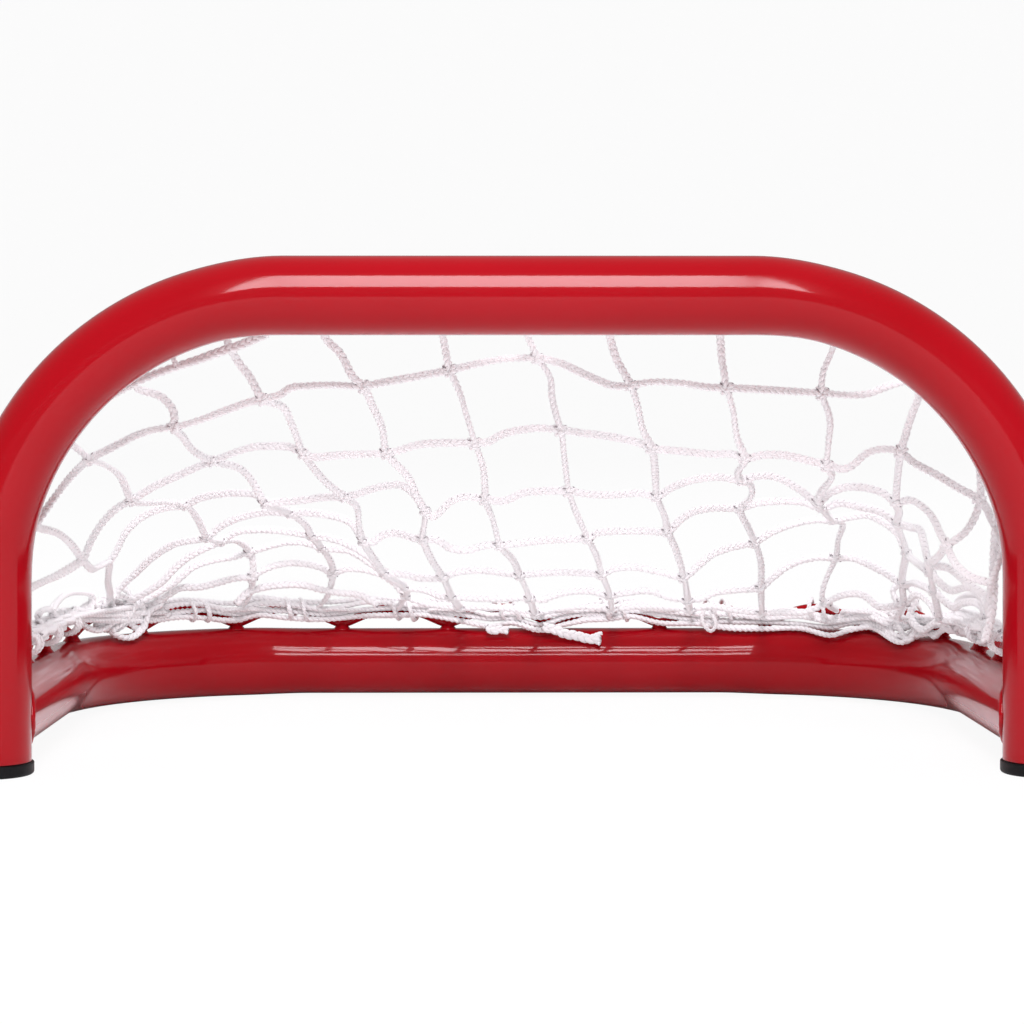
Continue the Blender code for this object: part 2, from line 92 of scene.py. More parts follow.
class UPath:
    """A U in its own plane, followed from the free end of its left leg to the free end of its right leg."""

    def __init__(self, reach, radius, squeeze, bulge):
        self.reach = reach
        self.radius = radius
        self.squeeze = squeeze
        self.bulge = bulge
        self.leg = reach - radius
        self.bend = radius * math.pi / 2
        self.length = 2 * (self.leg + self.bend + HALF_SPACING - radius)

    def at(self, s):
        """Distance across, distance along the legs, and heading: 0 on the left leg, pi on the right."""
        if s > self.length / 2:
            across, along, heading = self.at(self.length - s)
            return -across, along, math.pi - heading
        if s <= self.leg:
            return -HALF_SPACING, s, 0.0
        if s <= self.leg + self.bend:
            angle = (s - self.leg) / self.radius
            across = -HALF_SPACING + self.radius * (1 - math.cos(angle))
            return across, self.leg + self.radius * math.sin(angle), angle
        return s - self.length / 2, self.reach, math.pi / 2

    def section(self, s):
        """Half widths of the tube in the U's plane and across it: round if straight, oval in a bend."""
        s = min(s, self.length - s)
        angle = (s - self.leg) / self.radius
        ramp = min(angle, math.pi / 2 - angle) / SQUEEZE_RAMP
        ramp = min(max(ramp, 0.0), 1.0)
        oval = ramp * ramp * (3 - 2 * ramp)
        return TUBE_R * (1 - self.squeeze * oval), TUBE_R * (1 + self.bulge * oval)

    def rod_off(self, s, rise):
        """How far a lacing rod's axis lies from the tube's. rise is 0 at its feet, ROD_RISE at its crests."""
        return self.section(s)[1] + GAP + ROD_R + rise

    def stations(self, straight_step, bend_steps):
        """Places of the rings of a tube, closer together in the bends."""
        places = list(np.linspace(0.0, self.leg, max(2, round(self.leg / straight_step))))[:-1]
        places += list(np.linspace(self.leg, self.leg + self.bend, bend_steps + 1))
        middle = self.length / 2
        steps = max(2, round((middle - self.leg - self.bend) / straight_step))
        places += list(np.linspace(self.leg + self.bend, middle, steps + 1))[1:]
        return places + [self.length - s for s in reversed(places[:-1])]


ARCH = UPath(GOAL_HEIGHT - TUBE_R - LEG_BOTTOM, ARCH_BEND_RADIUS, ARCH_SQUEEZE, ARCH_BULGE)
BASE = UPath(BASE_REACH, BASE_BEND_RADIUS, BASE_SQUEEZE, BASE_BULGE)


def arch_point(s, inward, off):
    """A point beside the arch's axis: inward is towards the mouth's middle, off is towards the back."""
    across, along, heading = ARCH.at(s)
    x = across + inward * math.cos(heading)
    z = LEG_BOTTOM + along - inward * math.sin(heading)
    return Vector((x, FRONT_Y + off, z))


def base_point(s, inward, off):
    """A point beside the base tube's axis: inward is towards the goal's middle, off is up."""
    across, along, heading = BASE.at(s)
    x = across + inward * math.cos(heading)
    reach = along - inward * math.sin(heading)
    drop = (BASE_FRONT_Z - BASE_REAR_Z) * along / BASE_REACH
    return Vector((x, FRONT_Y + reach, BASE_FRONT_Z - drop + off))


# A lacing rod: the U that it follows, that U's function for points, and its first foot, pitch and waves
Rod = namedtuple("Rod", "path place start pitch waves")
ARCH_ROD_START = (ARCH.length - ARCH_ROD_WAVES * ARCH_ROD_PITCH) / 2
ARCH_ROD = Rod(ARCH, arch_point, ARCH_ROD_START, ARCH_ROD_PITCH, ARCH_ROD_WAVES)
BASE_ROD = Rod(BASE, base_point, BASE_ROD_START, BASE_ROD_PITCH, BASE_ROD_WAVES)


def at_crest(rod, s, inward):
    """A point level with a rod's crests."""
    return np.array(rod.place(s, inward, rod.path.rod_off(s, ROD_RISE)))


def photo_point(px, py, reach):
    """The point seen at a pixel of the photograph that lies reach behind the arch's axis."""
    ray = FORWARD + RIGHT * ((px - CENTRE_PX) / FOCAL_PX) + UP * ((HORIZON_PX - py) / FOCAL_PX)
    return CAMERA_AT + ray * ((FRONT_Y + reach - CAMERA_AT.y) / ray.y)


def new_object(name, data):
    """A new object of the scene."""
    added = bpy.data.objects.new(name, data)
    bpy.context.scene.collection.objects.link(added)
    return added


def add_camera():
    """The photograph's camera, level, with the shift of its framing."""
    data = bpy.data.cameras.new("camera")
    data.sensor_width = SENSOR_MM
    data.lens = FOCAL_PX / PHOTO_SIZE * SENSOR_MM
    data.shift_x = (PHOTO_SIZE / 2 - CENTRE_PX) / PHOTO_SIZE
    data.shift_y = -(PHOTO_SIZE / 2 - HORIZON_PX) / PHOTO_SIZE
    data.clip_end = CLIP_END
    camera = new_object("camera", data)
    camera.location = CAMERA_AT
    camera.rotation_euler = (math.pi / 2, 0.0, -GOAL_YAW)
    bpy.context.scene.camera = camera


# Mesh helpers

CURVE_SAMPLES = 12
TINY = 1e-6
SPARE_DIRECTION = (0.3, 0.5, 0.8)
UPWARD = (0.0, 0.0, 1.0)


def new_piece(name, verts, faces, material, replaced, sharp_degrees):
    """A piece of the object from its points and faces, riding on the goal's one body.

    Edges sharper than sharp_degrees show as edges; 0 leaves the piece smooth all over.
    """
    mesh = bpy.data.meshes.new(name)
    mesh.from_pydata([tuple(v) for v in verts], [], [tuple(f) for f in faces])
    mesh.validate()
    mesh.shade_smooth()
    if sharp_degrees:
        mesh.set_sharp_from_angle(angle=math.radians(sharp_degrees))
    mesh.materials.append(material)
    piece = new_object(name, mesh)
    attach(piece, "root")
    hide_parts(*replaced)
    return piece


def fix_normals(piece, merge=0.0):
    """Turn a piece's faces outwards, once points closer together than merge are joined."""
    bm = bmesh.new()
    bm.from_mesh(piece.data)
    if merge:
        bmesh.ops.remove_doubles(bm, verts=bm.verts, dist=merge)
    bmesh.ops.recalc_face_normals(bm, faces=bm.faces)
    bm.to_mesh(piece.data)
    bm.free()


def ring_faces(rings, sides):
    """Quads between rings of points that follow each other."""
    faces = []
    for r in range(rings - 1):
        low = r * sides
        for i in range(sides):
            j = (i + 1) % sides
            faces.append((low + i, low + j, low + sides + j, low + sides + i))
    return faces


def turned(outline, sides, x=0.0, y=0.0):
    """Points of an outline of radii and heights turned round an upright axis."""
    angles = [2 * math.pi * i / sides for i in range(sides)]
    return [(x + r * math.cos(a), y + r * math.sin(a), height) for r, height in outline for a in angles]


def blend(t, start, end, first, second):
    """The value at t in line with a first value at start and a second one at end."""
    return (end - t) / (end - start) * first + (t - start) / (end - start) * second


def evenly(points, step):
    """A centripetal Catmull-Rom curve through the points, as points at even steps."""
    points = np.array(points, float)
    chord = np.concatenate([[0.0], np.cumsum(np.linalg.norm(np.diff(points, axis=0), axis=1) ** 0.5)])
    keep = np.concatenate([[True], np.diff(chord) > TINY])
    points, chord = points[keep], chord[keep]
    ends = np.vstack([2 * points[0] - points[1], points, 2 * points[-1] - points[-2]])
    knots = np.concatenate([[2 * chord[0] - chord[1]], chord, [2 * chord[-1] - chord[-2]]])
    fine = []
    for k in range(1, len(points)):
        p0, p1, p2, p3 = ends[k - 1 : k + 3]
        t0, t1, t2, t3 = knots[k - 1 : k + 3]
        t = np.linspace(t1, t2, CURVE_SAMPLES, endpoint=False)[:, None]
        a1 = blend(t, t0, t1, p0, p1)
        a2 = blend(t, t1, t2, p1, p2)
        a3 = blend(t, t2, t3, p2, p3)
        b1 = blend(t, t0, t2, a1, a2)
        b2 = blend(t, t1, t3, a2, a3)
        fine.append(blend(t, t1, t2, b1, b2))
    fine = np.vstack(fine + [points[-1:]])
    run = np.concatenate([[0.0], np.cumsum(np.linalg.norm(np.diff(fine, axis=0), axis=1))])
    count = max(2, int(round(run[-1] / step)) + 1)
    wanted = np.linspace(0.0, run[-1], count)
    return np.column_stack([np.interp(wanted, run, fine[:, k]) for k in range(3)])


def carried_frames(line, normal):
    """Two directions across a line at each of its points, turned as little as the line lets them."""
    tangent = np.gradient(line, axis=0)
    tangent /= np.linalg.norm(tangent, axis=1)[:, None]
    side = np.empty_like(line)
    current = np.array(normal, float)
    for k, along in enumerate(tangent):
        current = current - along * current.dot(along)
        size = np.linalg.norm(current)
        if size < TINY:
            current = np.cross(along, SPARE_DIRECTION)
            size = np.linalg.norm(current)
        current = current / size
        side[k] = current
    return side, np.cross(tangent, side)


def tube_along(line, radii, sides, normal):
    """Points of the rings round a line."""
    first, second = carried_frames(line, normal)
    angles = np.linspace(0.0, 2 * math.pi, sides, endpoint=False)
    cosines = np.cos(angles)[None, :, None]
    sines = np.sin(angles)[None, :, None]
    radii = np.broadcast_to(np.asarray(radii, float), (len(line),))
    ring = first[:, None, :] * cosines + second[:, None, :] * sines
    return (line[:, None, :] + ring * radii[:, None, None]).reshape(-1, 3)


class Bundle:
    """Swept tubes gathered into one mesh, with a value of painted shade at each point."""

    def __init__(self):
        self.points = []
        self.shades = []
        self.faces = []
        self.count = 0

    def add(self, line, radii, sides, shade=None, normal=UPWARD):
        """Add a tube with closed ends. shade gives the values of its points, which are 0 without it."""
        rings = len(line)
        points = tube_along(line, radii, sides, normal)
        grid = np.arange(rings * sides).reshape(rings, sides) + self.count
        after = np.roll(grid, -1, axis=1)
        quads = np.stack([grid[:-1], after[:-1], after[1:], grid[1:]], axis=-1).reshape(-1, 4)
        self.faces += quads.tolist()
        self.faces.append(grid[0][::-1].tolist())
        self.faces.append(grid[-1].tolist())
        self.points.append(points)
        self.shades.append(np.zeros(len(points)) if shade is None else shade(points))
        self.count += len(points)

    def piece(self, name, material, slot, replaced):
        """The piece made of all tubes added so far."""
        points = np.vstack(self.points)
        piece = new_piece(name, points, self.faces, material, replaced, 0)
        # Each point's painted-shade value, which darkens the cord's colour between its yarns
        shades = piece.data.attributes.new("crevice_shade", "FLOAT", "POINT")
        shades.data.foreach_set("value", np.concatenate(self.shades).astype(np.float32))


# Frame

LEGS = (("left", -HALF_SPACING), ("right", HALF_SPACING))
TUBE_SIDES = 72
STRAIGHT_RING_STEP = 0.012
BEND_RINGS = 56
TUBE_SHARP_DEGREES = 50

POINTS_PER_WAVE = 26
ROD_SIDES = 14
NECK_OVERLAP = 0.0006
NECK_NORMAL = (1.0, 0.2, 0.1)
# Share of the way from the tube up to the rod, and radius there
NECK_PROFILE = ((0.0, 0.0046), (0.18, 0.0040), (0.4, 0.0033), (0.65, 0.0029), (0.9, 0.0025), (1.0, 0.0016))

WELD_STEPS = 150
WELD_SIDES = 12
WELD_START = math.radians(-45)
WELD_TURN = math.radians(270)
WELD_RADIUS = 0.003
WELD_THINNING = 0.62
THINNING_POWER = 4
RIPPLE = 0.1
RIPPLE_RATE = 0.42
RIPPLE_SCATTER = 0.03

STEM_TOP = 0.021
STEM_INSET = 0.0009
HOLLOW_INSET = 0.0031
ROUNDING_STEPS = 6
LIP_ROUNDING = 0.0006
LIP_FOOT = 0.0014
SOLE_ROUNDING = 0.0012
SOLE_RADIUS = 0.0125
RECESS_RADIUS = 0.012
RECESS_DEPTH = 0.0005
CAP_SHARP_DEGREES = 35
CAP_MERGE = 0.00001


def leg_mouth(across):
    """How far behind a leg's axis the base tube's coped end meets the leg."""
    return math.sqrt((TUBE_R + GAP) ** 2 - across * across)


def walled_tube(name, path, place, material, replaced, ends=None):
    """A tube with its wall: outer and inner faces, joined at both ends.

    ends gives, for a distance across the tube, how much of the path is left out at both its ends.
    """
    stations = path.stations(STRAIGHT_RING_STEP, BEND_RINGS)
    verts = []
    for shrink, order in ((0.0, stations), (TUBE_WALL, stations[::-1])):
        for s in order:
            in_plane, off_plane = path.section(s)
            for i in range(TUBE_SIDES):
                angle = 2 * math.pi * i / TUBE_SIDES
                u = (in_plane - shrink) * math.cos(angle)
                v = (off_plane - shrink) * math.sin(angle)
                where = s
                if ends and s == stations[0]:
                    where = ends(u)
                elif ends and s == stations[-1]:
                    where = path.length - ends(u)
                verts.append(place(where, u, v))
    faces = ring_faces(2 * len(stations), TUBE_SIDES)
    last = len(verts) - TUBE_SIDES
    for i in range(TUBE_SIDES):
        j = (i + 1) % TUBE_SIDES
        faces.append((last + i, last + j, j, i))
    fix_normals(new_piece(name, verts, faces, material, replaced, TUBE_SHARP_DEGREES))


def wave(phase):
    """Rise of a lacing rod from 0 at a foot (whole phase) to 1 at a crest (half phase)."""
    rounding = ROD_FOOT_ROUNDING
    top = math.sqrt(1 + rounding * rounding) - rounding
    return (math.sqrt(math.sin(math.pi * phase) ** 2 + rounding * rounding) - rounding) / top


def add_rod(name, rod, paint):
    """A wavy rod along a tube, with a weld neck at each foot."""
    bundle = Bundle()
    count = rod.waves * POINTS_PER_WAVE
    line = []
    for i in range(count + 1):
        phase = rod.waves * i / count
        s = rod.start + rod.pitch * phase
        line.append(rod.place(s, 0.0, rod.path.rod_off(s, ROD_RISE * wave(phase))))
    bundle.add(np.array(line), ROD_R, ROD_SIDES)
    for foot in range(rod.waves + 1):
        s = rod.start + rod.pitch * foot
        low = np.array(rod.place(s, 0.0, rod.path.section(s)[1] - NECK_OVERLAP))
        top = np.array(rod.place(s, 0.0, rod.path.rod_off(s, NECK_OVERLAP)))
        neck = np.array([low + (top - low) * share for share, _ in NECK_PROFILE])
        bundle.add(neck, [radius for _, radius in NECK_PROFILE], ROD_SIDES, normal=NECK_NORMAL)
    bundle.piece(name, paint, "rod_paint", (name,))


def add_welds(paint):
    """The bead round each end of the base tube, with the ripples of a hand weld."""
    for side, x in LEGS:
        line, radii = [], []
        for i in range(WELD_STEPS + 1):
            angle = WELD_START + WELD_TURN * i / WELD_STEPS
            across = TUBE_R * math.cos(angle)
            line.append((x + across, FRONT_Y + leg_mouth(across), BASE_FRONT_Z + TUBE_R * math.sin(angle)))
            size = WELD_RADIUS * (1 - WELD_THINNING * abs(across / TUBE_R) ** THINNING_POWER)
            ripple = RIPPLE * abs(math.sin(i * RIPPLE_RATE))
            radii.append(size * (1 + ripple + RIPPLE_SCATTER * random.uniform(-1, 1)))
        bundle = Bundle()
        bundle.add(np.array(line), radii, WELD_SIDES)
        name = "base_weld_" + side
        bundle.piece(name, paint, "frame_paint", (name,))


def rounded_edge(radius, height, rounding, first_degrees):
    """A quarter circle of a turned outline round the point (radius, height), followed clockwise."""
    points = []
    for k in range(ROUNDING_STEPS + 1):
        angle = math.radians(first_degrees - 90 * k / ROUNDING_STEPS)
        points.append((radius + rounding * math.cos(angle), height + rounding * math.sin(angle)))
    return points


def cap_outline():
    """Radius and height along a leg cap: the floor of its hollow, its stem, its head and its sole."""
    bore = TUBE_R - TUBE_WALL - GAP
    lip = TUBE_R + CAP_LIP
    stem = bore - STEM_INSET
    hollow = bore - HOLLOW_INSET
    outline = [(0.0, CAP_HEAD), (hollow, CAP_HEAD), (hollow, STEM_TOP), (stem, STEM_TOP), (stem, CAP_HEAD)]
    outline += [(lip - LIP_ROUNDING, CAP_HEAD)]
    outline += rounded_edge(lip - LIP_ROUNDING, CAP_HEAD - LIP_ROUNDING, LIP_ROUNDING, 90)
    outline += [(lip, LIP_FOOT)]
    outline += rounded_edge(lip - SOLE_ROUNDING, SOLE_ROUNDING, SOLE_ROUNDING, 0)
    outline += [(SOLE_RADIUS, 0.0), (RECESS_RADIUS, RECESS_DEPTH), (0.0, RECESS_DEPTH)]
    return outline


def add_caps(plastic):
    """The caps of the legs: their heads under the legs and their stems inside them."""
    outline = cap_outline()
    faces = ring_faces(len(outline), TUBE_SIDES)
    for side, x in LEGS:
        name = "leg_cap_" + side
        verts = turned(outline, TUBE_SIDES, x, FRONT_Y)
        cap = new_piece(name, verts, faces, plastic, (name,), CAP_SHARP_DEGREES)
        fix_normals(cap, CAP_MERGE)


# The net as the photograph shows it, in its pixels. Each row runs from left to right: each knot is followed
# by the places where its cord to the next knot is seen.

ROW_1 = (
    ((36, 524), (60, 490), (75, 472)),
    ((90, 459), (117, 445), (137, 435), (157, 429)),
    ((175, 427), (200, 420), (227, 410), (250, 402)),
    ((263, 399), (280, 395), (290, 388), (307, 386), (330, 385)),
    ((363, 386), (380, 383), (413, 377)),
    ((450, 370), (480, 363), (503, 359), (520, 358)),
    ((538, 358), (560, 363), (580, 372), (600, 381), (615, 386)),
    ((631, 385), (653, 382), (680, 383), (707, 387)),
    ((727, 388), (753, 389), (787, 391)),
    ((822, 393), (847, 395), (867, 394), (883, 388), (900, 382)),
    ((922, 376), (950, 395)),
    ((976, 425), (995, 460)),
    ((1012, 500),),
)
ROW_2 = (
    ((83, 560), (93, 537), (103, 522), (117, 508)),
    ((132, 500), (153, 487), (177, 476), (197, 467)),
    ((212, 461), (233, 453), (253, 447), (273, 446), (290, 447)),
    ((303, 453), (313, 457), (340, 455), (367, 454)),
    ((387, 453), (400, 450), (417, 445), (440, 443)),
    ((475, 443), (487, 442), (503, 434), (520, 430), (540, 428)),
    ((561, 430), (583, 433), (613, 437), (640, 443)),
    ((652, 448), (680, 451), (713, 454), (733, 454)),
    ((745, 458), (763, 455), (783, 455), (807, 460)),
    ((827, 465), (843, 469), (853, 465), (867, 453), (883, 449)),
    ((901, 452), (913, 462), (937, 475), (957, 487)),
    ((980, 500), (992, 520)),
    ((1004, 545),),
)
ROW_3 = (
    ((109, 563), (117, 550), (123, 537), (133, 524), (147, 514), (163, 508)),
    ((185, 505), (200, 498), (220, 494), (240, 493), (257, 495)),
    ((265, 503), (280, 502), (303, 500), (327, 497)),
    ((345, 497), (360, 493), (380, 487), (400, 485), (413, 493)),
    ((425, 510), (432, 517), (440, 512), (450, 502), (463, 497)),
    ((485, 499), (497, 501), (507, 500), (523, 493), (543, 491)),
    ((569, 491), (587, 494), (613, 495), (640, 493)),
    ((657, 496), (673, 487), (693, 480), (717, 477)),
    ((742, 480), (753, 477), (770, 476), (783, 480), (800, 490)),
    ((818, 502), (830, 493), (847, 487), (867, 488), (883, 493)),
    ((896, 502), (910, 500), (923, 507), (933, 518), (940, 533)),
    ((947, 546), (953, 560), (960, 569), (973, 578)),
    ((992, 583),),
)
ROW_4 = (
    ((112, 600), (125, 583), (137, 572), (147, 562), (160, 552), (177, 543)),
    ((207, 537), (220, 527), (233, 520), (253, 514), (270, 512)),
    ((290, 513), (313, 513), (337, 517), (350, 522), (357, 530)),
    ((363, 541), (373, 542), (383, 535), (397, 533), (413, 538)),
    ((423, 539), (437, 540), (450, 548), (467, 550), (487, 545)),
    ((500, 545), (520, 543), (547, 540), (570, 539)),
    ((588, 538), (597, 533), (620, 531), (647, 531)),
    ((668, 531), (680, 520), (693, 512), (713, 508)),
    ((740, 508), (757, 503), (780, 501), (803, 502)),
    ((822, 508), (840, 503), (860, 507), (880, 512)),
    ((897, 523), (910, 527), (920, 530), (924, 543)),
    ((930, 563), (948, 568), (966, 582)),
    ((990, 598),),
)
ROW_5 = (
    ((122, 604), (145, 593), (162, 582), (173, 570), (187, 558), (203, 549)),
    ((222, 541), (237, 532), (253, 530), (273, 530), (297, 533)),
    ((312, 536), (333, 539), (353, 547), (370, 558)),
    ((385, 573), (403, 574), (420, 578)),
    ((443, 577), (457, 572), (480, 570), (503, 573)),
    ((520, 575), (533, 574), (560, 572), (587, 573)),
    ((602, 574), (613, 569), (633, 567), (660, 572)),
    ((684, 577), (697, 567), (713, 554), (733, 547)),
    ((755, 542), (770, 533), (790, 525), (813, 520)),
    ((833, 520), (850, 517), (867, 515), (883, 522), (897, 533)),
    ((906, 552), (915, 561)),
    ((930, 573), (950, 590), (967, 587), (978, 592)),
    ((988, 606),),
)
ROW_6 = (
    ((132, 607), (155, 594), (175, 582), (193, 567), (213, 560), (233, 557)),
    ((250, 552), (267, 547), (287, 542), (307, 543)),
    ((322, 548), (350, 551), (370, 563), (388, 577)),
    ((405, 587), (425, 590), (440, 596)),
    ((452, 597), (470, 598), (495, 599)),
    ((530, 598), (543, 600), (550, 597), (567, 592), (590, 591)),
    ((610, 595), (630, 592), (650, 591), (667, 597)),
    ((688, 600), (703, 598), (713, 593), (733, 590)),
    ((761, 587), (773, 577), (790, 565), (813, 558)),
    ((836, 558), (853, 558), (870, 565), (887, 574)),
    ((902, 584), (915, 583)),
    ((934, 592), (953, 607), (963, 603), (977, 603)),
    ((989, 616),),
)
ROW_7 = (
    ((142, 610), (165, 597), (180, 588), (200, 587), (220, 582), (237, 578)),
    ((253, 577), (260, 572), (277, 565), (297, 563), (320, 567)),
    ((333, 573), (345, 569), (360, 569), (380, 574), (395, 584)),
    ((406, 596), (425, 603), (445, 606)),
    ((460, 607), (490, 607), (515, 609)),
    ((535, 612), (560, 608), (585, 606)),
    ((612, 608), (640, 606), (665, 607)),
    ((690, 609), (710, 606), (735, 610)),
    ((762, 612), (780, 612), (805, 612)),
    ((826, 603), (835, 598), (847, 594), (863, 595), (880, 607)),
    ((903, 603), (917, 594), (930, 603)),
    ((940, 618), (958, 622), (972, 626)),
    ((984, 634),),
)
ROWS = (None, ROW_1, ROW_2, ROW_3, ROW_4, ROW_5, ROW_6, ROW_7)

# Where the cords between the rows are seen, from each row (0 is the arch's rod) to the next one
COLUMNS = {
    0: {1: ((40, 528), (57, 533), (70, 543)), 2: ((92, 569), (100, 566)), 3: ((108, 581), (110, 592))},
    1: {
        0: ((73, 445),), 1: ((103, 464), (120, 476)), 2: ((147, 503), (165, 502)), 3: ((197, 518),),
        5: ((237, 541),), 6: ((253, 563),), 7: ((250, 593),),
    },
    2: {
        0: ((137, 388), (160, 396), (173, 410)), 1: ((183, 437), (193, 450)), 2: ((237, 467), (250, 478)),
        3: ((277, 508),), 4: ((305, 524),), 6: ((330, 560),), 7: ((327, 597),),
    },
    3: {
        0: ((237, 360), (250, 377)), 1: ((283, 407), (292, 425), (298, 440)), 2: ((313, 467), (327, 483)),
        3: ((357, 507), (359, 525)), 4: ((373, 557),), 7: ((400, 605),),
    },
    4: {
        0: ((327, 340), (340, 353), (353, 377)), 1: ((373, 407), (382, 427)), 2: ((408, 477), (417, 497)),
        3: ((425, 520),), 4: ((432, 560),),
    },
    5: {
        0: ((443, 337), (447, 358)), 1: ((460, 393), (467, 417)), 2: ((483, 467), (485, 489)),
        3: ((493, 520),), 4: ((513, 560),),
    },
    6: {
        0: ((528, 337),), 1: ((550, 377), (552, 397), (557, 418)), 2: ((565, 463),), 3: ((578, 517),),
        4: ((597, 557),),
    },
    7: {
        0: ((610, 337), (617, 360)), 1: ((638, 407), (643, 430)), 2: ((655, 470),), 3: ((665, 517),),
        4: ((677, 553),),
    },
    8: {
        0: ((720, 335), (722, 360)), 1: ((733, 410), (737, 437)), 2: ((738, 472),),
        3: ((751, 485), (751, 497)), 4: ((748, 527),), 5: ((761, 563),),
    },
    9: {
        0: ((833, 347), (823, 373)), 1: ((830, 420), (828, 447)), 2: ((832, 477), (820, 493)),
        5: ((843, 523), (838, 540)), 6: ((827, 577), (822, 595)),
    },
    10: {
        1: ((918, 398), (911, 417), (905, 437)), 2: ((898, 473),), 3: ((899, 512),), 5: ((903, 570),),
        7: ((898, 618),),
    },
    11: {2: ((967, 530),), 3: ((938, 557),)},
}

NET_COLUMNS = 12
LAST_ROW = 8
MESH_BAR = 0.04
EDGE_INWARD = 0.0045

# Where the net's columns are tied, measured along the arch and along the base tube
TOP_TIES = (0.103, 0.137, 0.179, 0.222, 0.264, 0.3135, 0.3472, 0.3830, 0.4286, 0.478, 0.522, 0.564, 0.601)
BOTTOM_TIES = (0.232, 0.289, 0.3285, 0.368, 0.401, 0.441, 0.4765, 0.515, 0.5506, 0.590, 0.642, 0.668, 0.700)

# How far behind the arch the outer knots of each row lie, and where the other rows begin and end
LEFT_REACH = (None, 0.026, 0.085, 0.150, 0.205, 0.212, 0.219, 0.224)
RIGHT_REACH = (None, 0.026, 0.026, 0.034, 0.050, 0.070, 0.095, 0.125)
NET_FRONT = 0.026
NET_BACK = BASE_REACH - 0.01

# Weights of the net's fit. A column's bar that is too long counts 1, and the low rows' bars count less.
SLACK_WEIGHT = 0.5
FIRST_LOW_ROW = 6
LOW_ROWS_WEIGHT = 0.4
ROW_WEIGHT = 0.6
EVEN_ROW_WEIGHT = 0.22
EVEN_COLUMN_WEIGHT = 0.12
ORDER_WEIGHT = 2.0
ROW_SPACING = 0.004
BACK_WEIGHT = 4.0
FIT_ROUNDS = 14
FIT_NUDGE = 1e-6
FIT_DAMPING = 0.02
FIT_STEP_LIMIT = 0.02

# The part of a column's first bar in which its seen places lie
TOP_BAR_START = 0.55
TOP_BAR_SHARE = 0.45


def sight_line(px, py):
    """A pixel's line of sight: its point beside the arch's axis, and its step for a metre further back."""
    near, far = photo_point(px, py, 0.0), photo_point(px, py, 1.0)
    return np.array(near), np.array(far - near)


SIGHT = {(i, j): sight_line(*ROWS[j][i][0]) for i in range(NET_COLUMNS + 1) for j in range(1, LAST_ROW)}


def knot(i, j, reach):
    """A knot of the net: on its line of sight, or tied to a rod in the first and the last row."""
    if j == 0:
        return at_crest(ARCH_ROD, TOP_TIES[i], EDGE_INWARD)
    if j == LAST_ROW:
        return at_crest(BASE_ROD, BOTTOM_TIES[i], EDGE_INWARD)
    near, step = SIGHT[i, j]
    return near + step * reach[i, j]


def excess(reach, one, other):
    """How much further apart two knots lie than a bar is long."""
    return np.linalg.norm(knot(*one, reach) - knot(*other, reach)) - MESH_BAR


def misfit(reach):
    """What the fit makes small: bars of a wrong length, knots out of line or order, knots too far back."""
    out = []
    for i in range(1, NET_COLUMNS):
        for j in range(LAST_ROW):
            over = excess(reach, (i, j), (i, j + 1))
            weight = 1.0 if j < FIRST_LOW_ROW else LOW_ROWS_WEIGHT
            out.append(weight * over if over > 0 else SLACK_WEIGHT * weight * over)
    for i in range(NET_COLUMNS):
        for j in range(1, LAST_ROW):
            out.append(ROW_WEIGHT * max(0.0, excess(reach, (i, j), (i + 1, j))))
    for i in range(1, NET_COLUMNS):
        for j in range(1, LAST_ROW):
            out.append(EVEN_ROW_WEIGHT * (reach[i, j] - (reach[i - 1, j] + reach[i + 1, j]) / 2))
            if 1 < j < LAST_ROW - 1:
                out.append(EVEN_COLUMN_WEIGHT * (reach[i, j] - (reach[i, j - 1] + reach[i, j + 1]) / 2))
            if j > 1:
                out.append(ORDER_WEIGHT * max(0.0, reach[i, j - 1] + ROW_SPACING - reach[i, j]))
            out.append(BACK_WEIGHT * max(0.0, reach[i, j] - NET_BACK))
    return np.array(out)


def solve_reach():
    """How far back each knot lies, so that the cords between the knots are about one bar long."""
    reach = np.zeros((NET_COLUMNS + 1, LAST_ROW))
    for j in range(1, LAST_ROW):
        reach[:, j] = NET_FRONT + (NET_BACK - NET_FRONT) * (j / LAST_ROW)
        reach[0, j] = LEFT_REACH[j]
        reach[NET_COLUMNS, j] = RIGHT_REACH[j]
    free = [(i, j) for i in range(1, NET_COLUMNS) for j in range(1, LAST_ROW)]
    for _ in range(FIT_ROUNDS):
        start = misfit(reach)
        slopes = np.empty((len(start), len(free)))
        for k, at in enumerate(free):
            reach[at] += FIT_NUDGE
            slopes[:, k] = (misfit(reach) - start) / FIT_NUDGE
            reach[at] -= FIT_NUDGE
        normal = slopes.T @ slopes + np.eye(len(free)) * FIT_DAMPING
        step = np.linalg.solve(normal, -slopes.T @ start)
        for k, at in enumerate(free):
            reach[at] += float(np.clip(step[k], -FIT_STEP_LIMIT, FIT_STEP_LIMIT))
    return reach


def row_line(j, reach):
    """Points along a row of the net, from its left side to its right one."""
    line = []
    for i in range(NET_COLUMNS):
        line.append(knot(i, j, reach))
        seen = ROWS[j][i][1:]
        for k, (px, py) in enumerate(seen):
            share = (k + 1) / (len(seen) + 1)
            deep = reach[i, j] + (reach[i + 1, j] - reach[i, j]) * share
            line.append(np.array(photo_point(px, py, deep)))
    return line + [knot(NET_COLUMNS, j, reach)]


